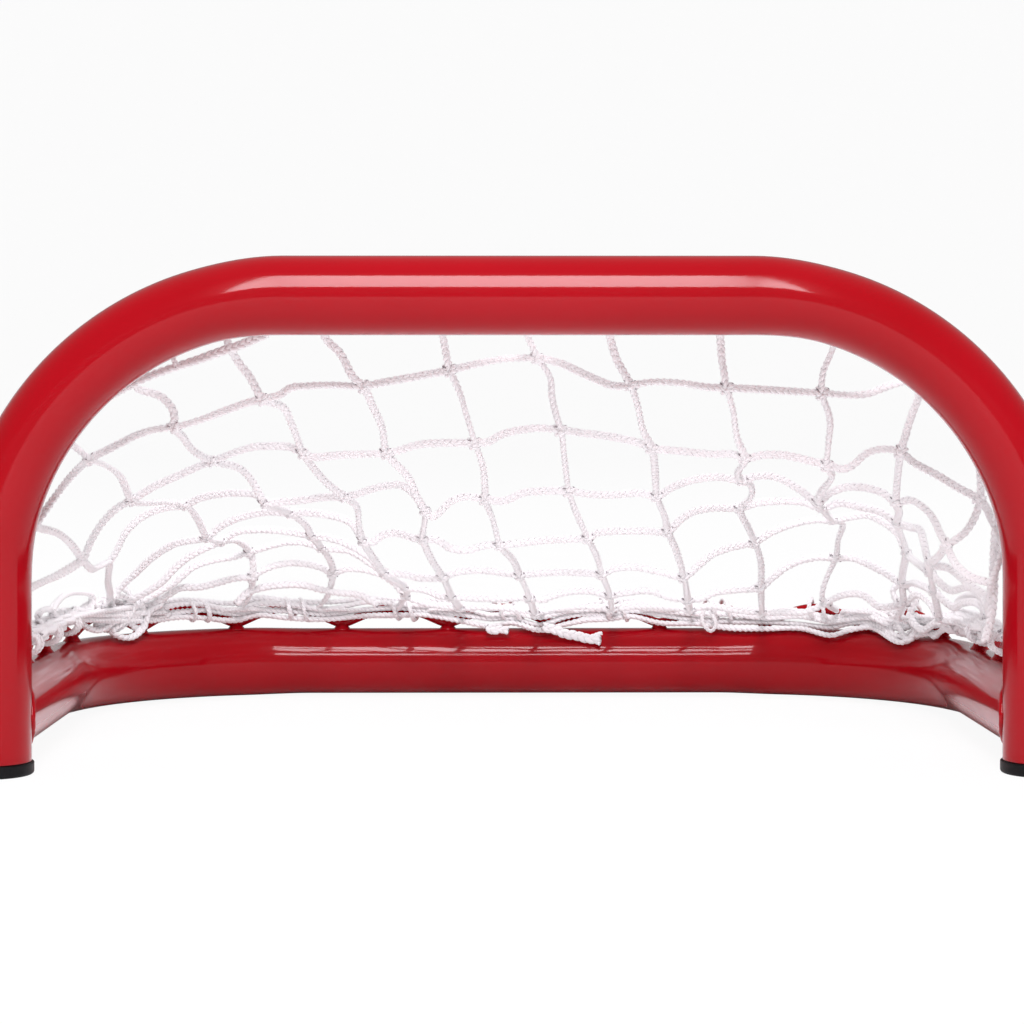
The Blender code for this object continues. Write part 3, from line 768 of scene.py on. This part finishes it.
def column_line(i, reach):
    """Points along a column of the net, from the arch's rod to the base's."""
    line = []
    for j in range(LAST_ROW):
        line.append(knot(i, j, reach))
        first = reach[i, j] if j else line[-1][1] - FRONT_Y
        after = knot(i, j + 1, reach)[1] - FRONT_Y
        seen = COLUMNS.get(i, {}).get(j, ())
        for k, (px, py) in enumerate(seen):
            share = (k + 1) / (len(seen) + 1)
            if j == 0:
                share = TOP_BAR_START + TOP_BAR_SHARE * share
            line.append(np.array(photo_point(px, py, first + (after - first) * share)))
    return line + [knot(i, LAST_ROW, reach)]


# The plaited cord. The values of the shade painted between its yarns are in yarn radii of depth and in cord
# widths from the cord's middle.
CORD_WIDTH = 0.0038
PLAIT_PITCH = 0.008
STEPS_PER_PITCH = 9
PLAIT_NORMAL = (0.0, -1.0, 0.6)
YARNS = 3
YARN_RADIUS = 0.00098
YARN_SIDES = 6
YARN_LIFT = 0.00042
TWIST = 0.45
TWIST_RATE = 0.7
CREVICE_TOP = 1.15
CREVICE_DEPTH = 1.1
CREVICE_HALF = 0.44
CREVICE_FADE = 0.12


def add_plait(bundle, points, width=CORD_WIDTH, turn=0.0):
    """A three-yarn knitted cord along a line. turn shifts its slow twist, so that cords differ."""
    scale = width / CORD_WIDTH
    yarn_radius = YARN_RADIUS * scale
    line = evenly(points, PLAIT_PITCH / STEPS_PER_PITCH * scale)
    flat, across = carried_frames(line, PLAIT_NORMAL)
    t = np.arange(len(line)) / STEPS_PER_PITCH
    twist = TWIST * np.sin(t * TWIST_RATE + turn)
    u_dir = across * np.cos(twist)[:, None] + flat * np.sin(twist)[:, None]
    w_dir = flat * np.cos(twist)[:, None] - across * np.sin(twist)[:, None]
    swing = width / 2 - yarn_radius
    lift = YARN_LIFT * scale

    def crevice_shade(verts):
        """How deep points lie between the yarns, which the material paints as shade: 0 on the cord's outside,
        1 in its hollows.
        """
        away = verts.reshape(len(line), -1, 3) - line[:, None, :]
        depth = np.abs(np.einsum("rsk,rk->rs", away, w_dir))
        aside = np.abs(np.einsum("rsk,rk->rs", away, u_dir))
        sunk = np.clip(CREVICE_TOP - depth / (CREVICE_DEPTH * YARN_RADIUS * scale), 0.0, 1.0)
        inside = np.clip((CREVICE_HALF * width - aside) / (CREVICE_FADE * width), 0.0, 1.0)
        return (sunk * inside).reshape(-1)

    for yarn in range(YARNS):
        phase = 2 * math.pi * (t + yarn / YARNS)
        path = line + u_dir * (swing * np.sin(phase))[:, None] + w_dir * (lift * np.sin(2 * phase))[:, None]
        bundle.add(path, yarn_radius, YARN_SIDES, crevice_shade, PLAIT_NORMAL)


KNOT_REACH = 0.0029
KNOT_BULGE = 0.0011
KNOT_WIDTH = 0.003
KNOT_SHOULDER = 0.55
KNOT_CROWN = 1.3
TURN_PER_LINE = 0.4
TURN_PER_COLUMN = 1.1
TURN_PER_ROW = 0.7


def add_knots(bundle, reach):
    """Two short turns of cord across each crossing of the net, one in front of it and one behind it."""
    for i in range(1, NET_COLUMNS):
        for j in range(1, LAST_ROW):
            middle = knot(i, j, reach)
            along = knot(i + 1, j, reach) - knot(i - 1, j, reach)
            down = knot(i, j + 1, reach) - knot(i, j - 1, reach)
            along /= np.linalg.norm(along)
            down /= np.linalg.norm(down)
            out = np.cross(along, down)
            out /= np.linalg.norm(out)
            for side in (1.0, -1.0):
                slant = along + side * down
                arm = slant * KNOT_REACH / np.linalg.norm(slant)
                bump = out * KNOT_BULGE * side
                loop = [middle - arm, middle - arm * KNOT_SHOULDER + bump, middle + bump * KNOT_CROWN]
                loop += [middle + arm * KNOT_SHOULDER + bump, middle + arm]
                add_plait(bundle, loop, KNOT_WIDTH, TURN_PER_COLUMN * i + TURN_PER_ROW * j)


def add_net(cord):
    """The net's rows, its columns and its knots."""
    reach = solve_reach()
    rows = [row_line(j, reach) for j in range(1, LAST_ROW)]
    columns = [column_line(i, reach) for i in range(NET_COLUMNS + 1)]
    for name, lines in (("net_rows", rows), ("net_columns", columns)):
        bundle = Bundle()
        for k, line in enumerate(lines):
            add_plait(bundle, line, turn=TURN_PER_LINE * k)
        bundle.piece(name, cord, "net_cord", ("net",))
    bundle = Bundle()
    add_knots(bundle, reach)
    bundle.piece("net_knots", cord, "net_cord", ("net",))


# The net's edge: a rope along each rod that sags a little at even distances
EDGE_STEP = 0.004
EDGE_SAG = 0.002
SAG_RATE = 119.0
ARCH_ROPE_SPAN = (0.06, 0.65)

# Where the edge's lower side is seen over the base tube's rear, in pixels
EDGE_LOW = (
    (150, 626), (179, 621), (206, 621), (223, 624), (238, 625), (257, 620), (290, 621), (328, 624),
    (368, 619), (401, 619), (424, 620), (462, 624), (490, 630), (512, 628), (540, 634), (566, 627),
    (587, 624), (608, 624), (632, 620), (660, 626), (698, 629), (730, 631), (768, 633), (800, 633),
    (832, 638), (849, 634), (871, 632), (902, 646), (917, 639), (938, 636),
)

# The ropes above it: pixels up and metres nearer at the rear, then metres inward and up at the sides
EDGE_ROPES = (
    (4.0, 0.0, 0.0048, 0.0022),
    (10.0, -0.0014, 0.0064, 0.0046),
    (16.0, 0.0006, 0.0030, 0.0058),
    (21.0, -0.0010, 0.0080, 0.0030),
)
ROPE_WANDER_PX = 1.2
ROPE_WANDER_RATE = 0.07
ROPE_WANDER_SHIFT = 2.1
LEFT_ROPE_START = 0.05
LEFT_ROPE_SHIFT = 0.004
LEFT_ROPE_END = 0.16
RIGHT_ROPE_START = 0.7
RIGHT_ROPE_END = 0.8
RIGHT_ROPE_SHIFT = 0.005
BESIDE_ROD = 0.0056
CORD_CLEARANCE = 0.0026
CLEARING_STEP = 0.001
ROD_VIEW_MARGIN = 0.02
VIEW_SAMPLES = 500

# Cords that lie loose at the net's corners and along its edges, again in pixels
LEFT_CLUMP = (
    (62, 624), (52, 612), (60, 599), (76, 592), (92, 597), (90, 610), (74, 610), (80, 622), (98, 630),
    (112, 620), (104, 604), (118, 596), (134, 604), (126, 620), (112, 632), (128, 638), (144, 627),
    (149, 612), (162, 605),
)
LEFT_CLUMP_BACK = (
    (54, 630), (42, 627), (38, 616), (49, 609), (64, 622), (76, 616), (90, 604), (108, 612), (96, 624),
    (116, 630), (136, 616), (152, 618), (170, 614),
)
LEFT_CLUMP_FOLDS = (
    (108, 606), (102, 598), (97, 614), (106, 628), (117, 617), (111, 600), (122, 588), (131, 599),
    (127, 615), (138, 629), (147, 618), (141, 603), (152, 595), (166, 600),
)
RIGHT_CLUMP = (
    (872, 616), (888, 622), (897, 606), (893, 590), (906, 584), (916, 598), (910, 616), (922, 630),
    (938, 622), (950, 630), (962, 620), (956, 606), (970, 596), (984, 606), (980, 624), (968, 634),
    (984, 640), (995, 630),
)
RIGHT_CLUMP_BACK = (
    (884, 636), (896, 626), (908, 640), (922, 626), (936, 636), (948, 618), (964, 632), (978, 618),
    (992, 628),
)
LEFT_FOLD = (
    (236, 604), (247, 593), (260, 588), (280, 585), (303, 585), (323, 590), (340, 593), (360, 595),
    (378, 605),
)
DROOPING_TOP = (
    (110, 396), (128, 386), (150, 376), (172, 368), (200, 359), (222, 351), (240, 345), (268, 333),
)
TOP_HANGER = ((170, 350), (173, 358), (177, 367))
LOOSE_TAIL = ((543, 627), (556, 630), (566, 634), (578, 636), (590, 639), (600, 638))
UPPER_FRAY = ((590, 637), (598, 634), (602, 633))
LOWER_FRAY = ((589, 640), (596, 642), (600, 644))
SMALL_KNOT = ((487, 627), (493, 631), (500, 629), (508, 631))
SHORT_LOOP = ((705, 608), (702, 616), (704, 625), (711, 631), (716, 625), (712, 614))

# Cords at the arch: points, width and how far behind the arch they lie
TOP_CORDS = ((DROOPING_TOP, 0.0042, 0.030), (TOP_HANGER, 0.0024, 0.029))
# Cords at the base tube: points, width and how far nearer than its rod they lie
LOW_CORDS = (
    (LEFT_CLUMP, 0.0040, 0.004),
    (LEFT_CLUMP_BACK, 0.0038, 0.0),
    (LEFT_CLUMP_FOLDS, 0.0036, 0.002),
    (RIGHT_CLUMP, 0.0040, 0.006),
    (RIGHT_CLUMP_BACK, 0.0038, 0.001),
    (LOOSE_TAIL, 0.0052, 0.008),
    (UPPER_FRAY, 0.0022, 0.008),
    (LOWER_FRAY, 0.0022, 0.008),
    (SMALL_KNOT, 0.0044, 0.006),
    (SHORT_LOOP, 0.0022, 0.007),
    (LEFT_FOLD, 0.0040, 0.012),
)
TURN_PER_WIDTH = 900
# Cords down the sides: points, and how far behind the arch they begin and end
SIDE_CORDS = (
    (((22, 592), (38, 584), (60, 574), (83, 560)), 0.030, 0.085),
    (((1004, 462), (1000, 495), (996, 530), (994, 565), (993, 600), (990, 622), (985, 642)), 0.030, 0.050),
)
SIDE_CORD_WIDTH = 0.0044


def pixel_column(point):
    """The column of the photograph's pixels in which a point is seen."""
    ray = Vector(point) - CAMERA_AT
    return CENTRE_PX + FOCAL_PX * ray.dot(RIGHT) / ray.dot(FORWARD)


ROD_VIEW = np.linspace(ROD_VIEW_MARGIN, BASE.length - ROD_VIEW_MARGIN, VIEW_SAMPLES)
ROD_CRESTS = [at_crest(BASE_ROD, s, BESIDE_ROD) for s in ROD_VIEW]
ROD_COLUMNS = [pixel_column(crest) for crest in ROD_CRESTS]
ROD_REACHES = [crest[1] - FRONT_Y for crest in ROD_CRESTS]
BASE_AXIS = np.array([base_point(s, 0.0, 0.0) for s in np.linspace(0.0, BASE.length, VIEW_SAMPLES)])


def beside_base_rod(px, py, nearer):
    """The point seen at a pixel as far off as the base rod there, brought forward out of the base tube."""
    reach = float(np.interp(px, ROD_COLUMNS, ROD_REACHES)) - nearer
    while True:
        point = np.array(photo_point(px, py, reach))
        if np.min(np.linalg.norm(BASE_AXIS - point, axis=1)) > TUBE_R + CORD_CLEARANCE:
            return point
        reach -= CLEARING_STEP


def rope_line(rod, start, end, inward, lift=0.0):
    """A line on the inner side of a rod's crests, as the net's edge runs."""
    count = int((end - start) / EDGE_STEP)
    points = []
    for k in range(count + 1):
        s = start + (end - start) * k / count
        sag = EDGE_SAG * math.sin(s * SAG_RATE) ** 2
        points.append(at_crest(rod, s, inward + sag) + np.array((0.0, 0.0, lift)))
    return points


def add_edges(cord):
    """The net's edge along each rod: one rope on the arch, and a band of ropes over the base tube."""
    bundle = Bundle()
    add_plait(bundle, rope_line(ARCH_ROD, *ARCH_ROPE_SPAN, EDGE_INWARD))
    for points, width, deep in TOP_CORDS:
        add_plait(bundle, [np.array(photo_point(px, py, deep)) for px, py in points], width)
    bundle.piece("net_edge_arch", cord, "net_cord", ("net",))

    bundle = Bundle()
    for k, (up, nearer, inward, lift) in enumerate(EDGE_ROPES):
        left = rope_line(BASE_ROD, LEFT_ROPE_START + LEFT_ROPE_SHIFT * k, LEFT_ROPE_END, inward, lift)
        right = rope_line(BASE_ROD, RIGHT_ROPE_START, RIGHT_ROPE_END - RIGHT_ROPE_SHIFT * k, inward, lift)
        rear = []
        for px, py in EDGE_LOW:
            wander = ROPE_WANDER_PX * math.sin(px * ROPE_WANDER_RATE + ROPE_WANDER_SHIFT * k)
            rear.append(beside_base_rod(px, py - up + wander, nearer))
        add_plait(bundle, left + rear + right, turn=k)
    bundle.piece("net_edge_base", cord, "net_cord", ("net",))


def add_loose_cords(cord):
    """The slack cords at the net's corners and sides, a fold, a short loop and a loose tail."""
    bundle = Bundle()
    for points, width, nearer in LOW_CORDS:
        line = [beside_base_rod(px, py, nearer) for px, py in points]
        add_plait(bundle, line, width, width * TURN_PER_WIDTH)
    for points, first, last in SIDE_CORDS:
        deeps = np.linspace(first, last, len(points))
        line = [np.array(photo_point(px, py, deep)) for (px, py), deep in zip(points, deeps)]
        add_plait(bundle, line, SIDE_CORD_WIDTH)
    bundle.piece("net_loose_cords", cord, "net_cord", ("net",))


LACING_WIDTH = 0.0026
LACING_TURNS = 2
LACING_POINTS = 10
LACING_CLEARANCE = 0.0022
LACING_INNER = 0.0105
LACING_ADVANCE = 0.008
LACING_HEIGHT = 0.0048
# Between two crests the lacing runs beside the edge's rope, at these shares of the pitch
LACING_SHARES = (0.36, 0.5, 0.64)
BESIDE_ROPE = 0.0036


def lacing_turns(rod, centre):
    """Points of the turns that the lacing makes round the rod and the net's edge at a crest."""
    outer = -(ROD_R + LACING_CLEARANCE)
    points = []
    for turn in range(LACING_TURNS):
        for k in range(LACING_POINTS):
            angle = 2 * math.pi * k / LACING_POINTS
            s = centre + LACING_ADVANCE * (turn - LACING_TURNS / 2 + 0.5 + k / LACING_POINTS)
            inward = outer + (LACING_INNER - outer) / 2 * (1 - math.cos(angle))
            on_rod = rod.path.rod_off(s, ROD_RISE * wave((s - rod.start) / rod.pitch))
            off = (on_rod + rod.path.rod_off(s, ROD_RISE)) / 2 + LACING_HEIGHT * math.sin(angle)
            points.append(np.array(rod.place(s, inward, off)))
    return points


def add_lacing(name, rod, cord):
    """The lacing of a rod: turns at each crest, joined by a run along the net's edge."""
    points = []
    for i in range(rod.waves):
        centre = rod.start + rod.pitch * (i + 0.5)
        points += lacing_turns(rod, centre)
        if i == rod.waves - 1:
            break
        for share in LACING_SHARES:
            s = centre + rod.pitch * share
            points.append(at_crest(rod, s, EDGE_INWARD + BESIDE_ROPE))
    bundle = Bundle()
    add_plait(bundle, points, LACING_WIDTH)
    bundle.piece(name, cord, "lacing_cord", (name,))


# Materials

SHADER = "Principled BSDF"
NOISE_SPAN = (0.3, 0.7)
PAINT_COLORS = ((0.32, 0.0006, 0.0045), (0.36, 0.0010, 0.0065))
PLASTIC_COLORS = ((0.002, 0.002, 0.002), (0.005, 0.005, 0.006))
NET_TINT = (0.95, 0.935, 0.945)
LACING_TINT = (0.94, 0.92, 0.93)
# Painted shade: the cord's colour deep between its yarns, and the shade values at which it begins and is full
CREVICE_SHADE_TINT = (0.24, 0.20, 0.22)
CREVICE_SHADE_SPAN = (0.35, 0.8)
BACKDROP_COLORS = ((0.89, 0.89, 0.89), (0.91, 0.91, 0.91))
BACKDROP_WHITENESS = 0.93


def new_material(name, roughness, specular, others=()):
    """A material and its node tree, with numbers on the sockets of its shader."""
    material = bpy.data.materials.new(name)
    material.use_nodes = True
    for socket, value in (("Roughness", roughness), ("Specular IOR Level", specular), *others):
        material.node_tree.nodes[SHADER].inputs[socket].default_value = value
    return material, material.node_tree


def noise_value(tree, scale, detail):
    """A cloudy value from 0 to 1 that belongs to the place on the object."""
    place = tree.nodes.new("ShaderNodeNewGeometry")
    noise = tree.nodes.new("ShaderNodeTexNoise")
    noise.inputs["Scale"].default_value = scale
    noise.inputs["Detail"].default_value = detail
    tree.links.new(place.outputs["Position"], noise.inputs["Vector"])
    return noise.outputs["Fac"]


def color_by(tree, value, span, colors):
    """Colour a material by a value: the first colour up to the span's start, the second one from its end."""
    ramp = tree.nodes.new("ShaderNodeValToRGB")
    for element, position, color in zip(ramp.color_ramp.elements, span, colors):
        element.position = position
        element.color = (*color, 1.0)
    tree.links.new(value, ramp.inputs["Fac"])
    tree.links.new(ramp.outputs["Color"], tree.nodes[SHADER].inputs["Base Color"])


def bump_by(tree, value, strength, distance):
    """Raise a material's surface by a value."""
    bump = tree.nodes.new("ShaderNodeBump")
    bump.inputs["Strength"].default_value = strength
    bump.inputs["Distance"].default_value = distance
    tree.links.new(value, bump.inputs["Height"])
    tree.links.new(bump.outputs["Normal"], tree.nodes[SHADER].inputs["Normal"])


def paint_material():
    """Red gloss paint: a clear coat over a slightly cloudy colour, with a trace of orange peel."""
    coat = (("Coat Weight", 1.0), ("Coat Roughness", 0.075), ("Coat IOR", 1.285))
    material, tree = new_material("red_gloss_paint", roughness=0.3, specular=0.04, others=coat)
    color_by(tree, noise_value(tree, scale=9.0, detail=3.0), NOISE_SPAN, PAINT_COLORS)
    bump_by(tree, noise_value(tree, scale=260.0, detail=2.0), strength=0.03, distance=0.0004)
    return material


def plastic_material():
    """Black moulded plastic with a fine grain."""
    material, tree = new_material("black_cap_plastic", roughness=0.45, specular=0.2)
    grain = noise_value(tree, scale=1400.0, detail=2.0)
    color_by(tree, grain, NOISE_SPAN, PLASTIC_COLORS)
    bump_by(tree, grain, strength=0.15, distance=0.0002)
    return material


def cord_material(name, tint):
    """White knitted cord with shade painted darker into the hollows between its yarns, and a fine fibrous
    surface.
    """
    sheen = (("Sheen Weight", 0.4), ("Sheen Roughness", 0.4))
    material, tree = new_material(name, roughness=0.85, specular=0.3, others=sheen)
    # Painted shade: the cord's colour darkens by each point's shade value
    crevice_shade = tree.nodes.new("ShaderNodeAttribute")
    crevice_shade.attribute_name = "crevice_shade"
    color_by(tree, crevice_shade.outputs["Fac"], CREVICE_SHADE_SPAN, (tint, CREVICE_SHADE_TINT))
    bump_by(tree, noise_value(tree, scale=2600.0, detail=2.0), strength=0.2, distance=0.0002)
    return material


def backdrop_material():
    """Pale and matt. The camera sees it nearly white, with a trace of the object's shadow."""
    material, tree = new_material("pale_backdrop", roughness=0.9, specular=0.0)
    color_by(tree, noise_value(tree, scale=30.0, detail=3.0), NOISE_SPAN, BACKDROP_COLORS)
    white = tree.nodes.new("ShaderNodeEmission")
    white.inputs["Strength"].default_value = 1.0
    path = tree.nodes.new("ShaderNodeLightPath")
    share = tree.nodes.new("ShaderNodeMath")
    share.operation = "MULTIPLY"
    share.inputs[1].default_value = BACKDROP_WHITENESS
    tree.links.new(path.outputs["Is Camera Ray"], share.inputs[0])
    mix = tree.nodes.new("ShaderNodeMixShader")
    tree.links.new(share.outputs["Value"], mix.inputs["Fac"])
    tree.links.new(tree.nodes[SHADER].outputs["BSDF"], mix.inputs[1])
    tree.links.new(white.outputs["Emission"], mix.inputs[2])
    tree.links.new(mix.outputs["Shader"], tree.nodes["Material Output"].inputs["Surface"])
    return material


# Stage

STAGE_SIDES = 96
STAGE_RADIUS = 4.0
FLOOR_CENTRE = 1.0
COVE_RADIUS = 0.4
COVE_STEPS = 12
WALL_HEIGHT = 1.1
WORLD_LIGHT = 0.3
LAMP_AIM = Vector((0.0, 0.0, 0.1))
LAMP_TINT = (1.0, 0.96, 1.0)
# Name, place, width, height, power, and whether gloss mirrors it
LAMPS = (
    ("front_softbox", (0.01, -1.69, 1.52), 0.55, 1.25, 41.0, True),
    ("rear_softbox", (1.55, 2.0, 1.3), 0.5, 0.7, 12.0, False),
    ("top_scrim", (0.0, 0.2, 2.2), 2.4, 2.4, 29.0, False),
)


def add_backdrop():
    """A round floor that curves up into a low wall."""
    outline = [(FLOOR_CENTRE, 0.0), (STAGE_RADIUS - COVE_RADIUS, 0.0)]
    for k in range(1, COVE_STEPS + 1):
        angle = math.radians(90 * k / COVE_STEPS)
        out = STAGE_RADIUS - COVE_RADIUS * (1 - math.sin(angle))
        outline.append((out, COVE_RADIUS * (1 - math.cos(angle))))
    outline.append((STAGE_RADIUS, WALL_HEIGHT))
    faces = [face[::-1] for face in ring_faces(len(outline), STAGE_SIDES)]
    faces.append(tuple(range(STAGE_SIDES)))
    mesh = bpy.data.meshes.new("backdrop")
    mesh.from_pydata(turned(outline, STAGE_SIDES), [], faces)
    mesh.shade_smooth()
    mesh.materials.append(backdrop_material())
    backdrop = new_object("backdrop", mesh)


def add_lights():
    """A plain grey world and the softboxes of a small studio."""
    world = bpy.data.worlds.new("studio")
    bpy.context.scene.world = world
    world.use_nodes = True
    ambient = world.node_tree.nodes["Background"]
    ambient.inputs["Color"].default_value = (1.0, 1.0, 1.0, 1.0)
    ambient.inputs["Strength"].default_value = WORLD_LIGHT
    for name, place, width, height, power, mirrored in LAMPS:
        data = bpy.data.lights.new(name, "AREA")
        data.shape = "RECTANGLE"
        data.size = width
        data.size_y = height
        data.energy = power
        data.color = LAMP_TINT
        lamp = new_object(name, data)
        lamp.visible_glossy = mirrored
        lamp.location = place
        lamp.rotation_euler = (LAMP_AIM - Vector(place)).to_track_quat("-Z", "Y").to_euler()


def main():
    """The scene round the frame."""
    add_camera()
    paint = paint_material()
    plastic = plastic_material()
    net_cord = cord_material("white_net_cord", NET_TINT)
    lacing_cord = cord_material("white_lacing_cord", LACING_TINT)
    walled_tube("arch_tube", ARCH, arch_point, paint, ("front_arch",))
    walled_tube("base_frame_tube", BASE, base_point, paint, ("base_tube",), leg_mouth)
    add_welds(paint)
    add_caps(plastic)
    add_rod("arch_lacing_rod", ARCH_ROD, paint)
    add_rod("base_lacing_rod", BASE_ROD, paint)
    add_net(net_cord)
    add_edges(net_cord)
    add_loose_cords(net_cord)
    add_lacing("arch_lacing_cord", ARCH_ROD, lacing_cord)
    add_lacing("base_lacing_cord", BASE_ROD, lacing_cord)
    add_backdrop()
    add_lights()
    bpy.context.scene.view_settings.view_transform = "Standard"


main()
